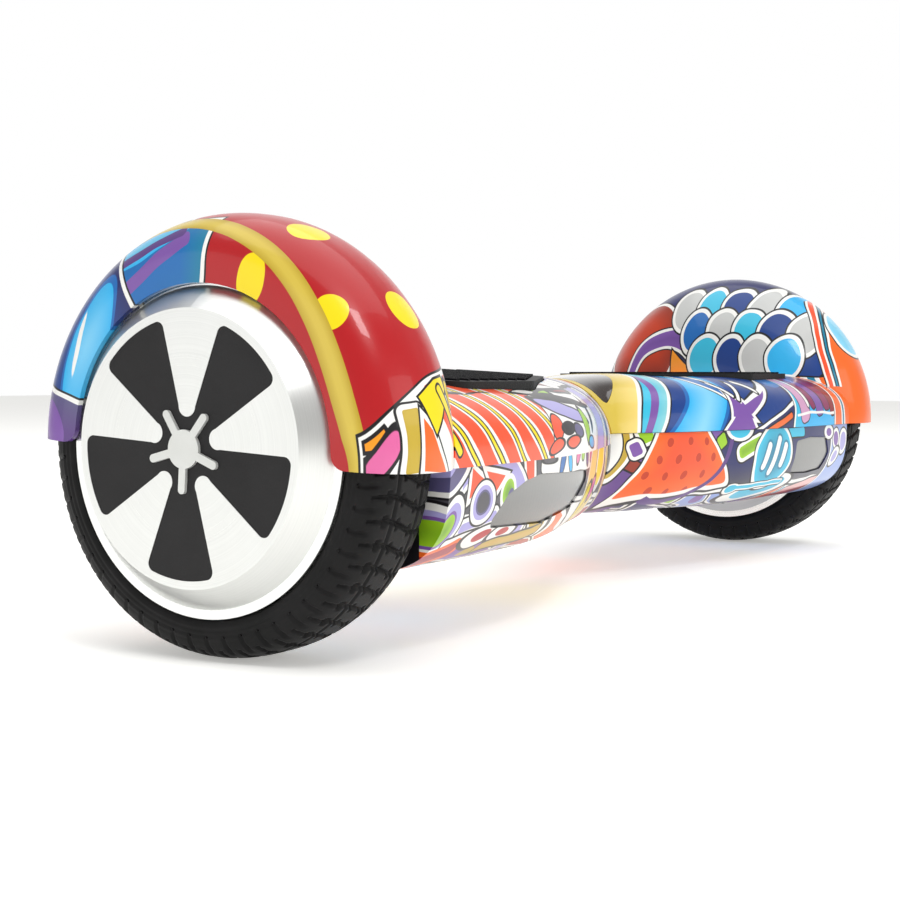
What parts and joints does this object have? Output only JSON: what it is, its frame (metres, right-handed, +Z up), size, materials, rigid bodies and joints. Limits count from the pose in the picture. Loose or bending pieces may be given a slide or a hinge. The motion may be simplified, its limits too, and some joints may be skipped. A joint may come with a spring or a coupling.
{
  "type": "self balancing hoverboard",
  "caption": "Two-wheeled self balancing board: two foot platforms rocking on a centre pivot between hub motor wheels under domed fenders.",
  "frame": {"origin": "on the ground under the middle of the board, at the centre of its footprint", "axes": "+X along the board towards the right half with the battery, -Y to the front with the headlights, +Z up"},
  "size_m": [0.5904, 0.1828, 0.1736],
  "materials": {
    "shell": "glossy printed",
    "mat": "matt ribbed",
    "tyre": "matt",
    "rim": "bright turned",
    "hub_cover": "brushed",
    "hub_inlay": "satin",
    "hub_cap": "satin",
    "inner_cover": "satin",
    "steel": "machined",
    "screw": "blackened",
    "magnet": "plated",
    "lamination": "satin",
    "copper": "enamelled wire",
    "chassis": "cast",
    "bush": "sintered",
    "lens": "smoked clear",
    "window": "smoked clear",
    "board": "soldered",
    "battery": "shrink film",
    "cable": "satin",
    "port": "satin",
    "button": "satin"
  },
  "bodies": {
    "left_half": {"left_upper_shell": "shell", "left_lower_shell": "shell", "left_headlight_lens": "lens", "left_headlight_board": "board", "left_indicator_lens": "window", "left_chassis": "chassis", "left_axle": "steel", "left_axle_clamp": "chassis", "left_clamp_screws": "screw", "left_stator_core": "lamination", "left_stator_windings": "copper", "left_sensor_board": "board", "left_shell_screws": "screw", "left_motor_cable": "cable", "pivot_tube": "steel", "pivot_stop_pin": "steel", "pivot_rings": "steel", "main_board": "board", "heat_sink": "chassis"},
    "right_half": {"right_upper_shell": "shell", "right_lower_shell": "shell", "right_headlight_lens": "lens", "right_headlight_board": "board", "right_indicator_lens": "window", "right_chassis": "chassis", "right_axle": "steel", "right_axle_clamp": "chassis", "right_clamp_screws": "screw", "right_stator_core": "lamination", "right_stator_windings": "copper", "right_sensor_board": "board", "right_shell_screws": "screw", "right_motor_cable": "cable", "pivot_bushes": "bush", "battery_pack": "battery", "battery_straps": "chassis", "charge_socket": "port", "switch_body": "port"},
    "left_wheel": {"left_tyre": "tyre", "left_wheel_rim": "rim", "left_hub_cover": "hub_cover", "left_hub_inlay": "hub_inlay", "left_hub_cap": "hub_cap", "left_motor_magnets": "magnet", "left_wheel_bearings": "steel", "left_inner_cover": "inner_cover", "left_cover_screws": "screw"},
    "right_wheel": {"right_tyre": "tyre", "right_wheel_rim": "rim", "right_hub_cover": "hub_cover", "right_hub_inlay": "hub_inlay", "right_hub_cap": "hub_cap", "right_motor_magnets": "magnet", "right_wheel_bearings": "steel", "right_inner_cover": "inner_cover", "right_cover_screws": "screw"},
    "left_mat": {"left_foot_mat": "mat"},
    "right_mat": {"right_foot_mat": "mat"},
    "button": {"power_button": "button"},
    "port_cap": {"charge_cap": "cable"}
  },
  "joints": [
    {"name": "pivot_twist", "type": "hinge", "parent": "left_half", "child": "right_half", "pos_m": [0, 0, 0.072], "axis": [1, 0, 0], "range_deg": [-8.8, 15.2]},
    {"name": "left_wheel_spin", "type": "hinge", "parent": "left_half", "child": "left_wheel", "pos_m": [-0.263, -0.00059, 0.08248], "axis": [1, 0, 0], "continuous": true},
    {"name": "right_wheel_spin", "type": "hinge", "parent": "right_half", "child": "right_wheel", "pos_m": [0.263, 0, 0.0825], "axis": [1, 0, 0], "continuous": true},
    {"name": "left_mat_press", "type": "slide", "parent": "left_half", "child": "left_mat", "axis": [0, 0.0558, -0.9984], "range_m": [0, 0.0015], "stiffness_N_per_m": 4000, "springref_m": -0.0006},
    {"name": "right_mat_press", "type": "slide", "parent": "right_half", "child": "right_mat", "axis": [0, 0, -1], "range_m": [0, 0.0015], "stiffness_N_per_m": 4000, "springref_m": -0.0006},
    {"name": "power_button_press", "type": "slide", "parent": "right_half", "child": "button", "axis": [0, -1, 0], "range_m": [0, 0.0012], "stiffness_N_per_m": 1500, "springref_m": -0.0004},
    {"name": "charge_cap_hinge", "type": "hinge", "parent": "right_half", "child": "port_cap", "pos_m": [0.205, 0.0873, 0.076], "axis": [1, 0, 0], "range_deg": [0, 110]}
  ]
}
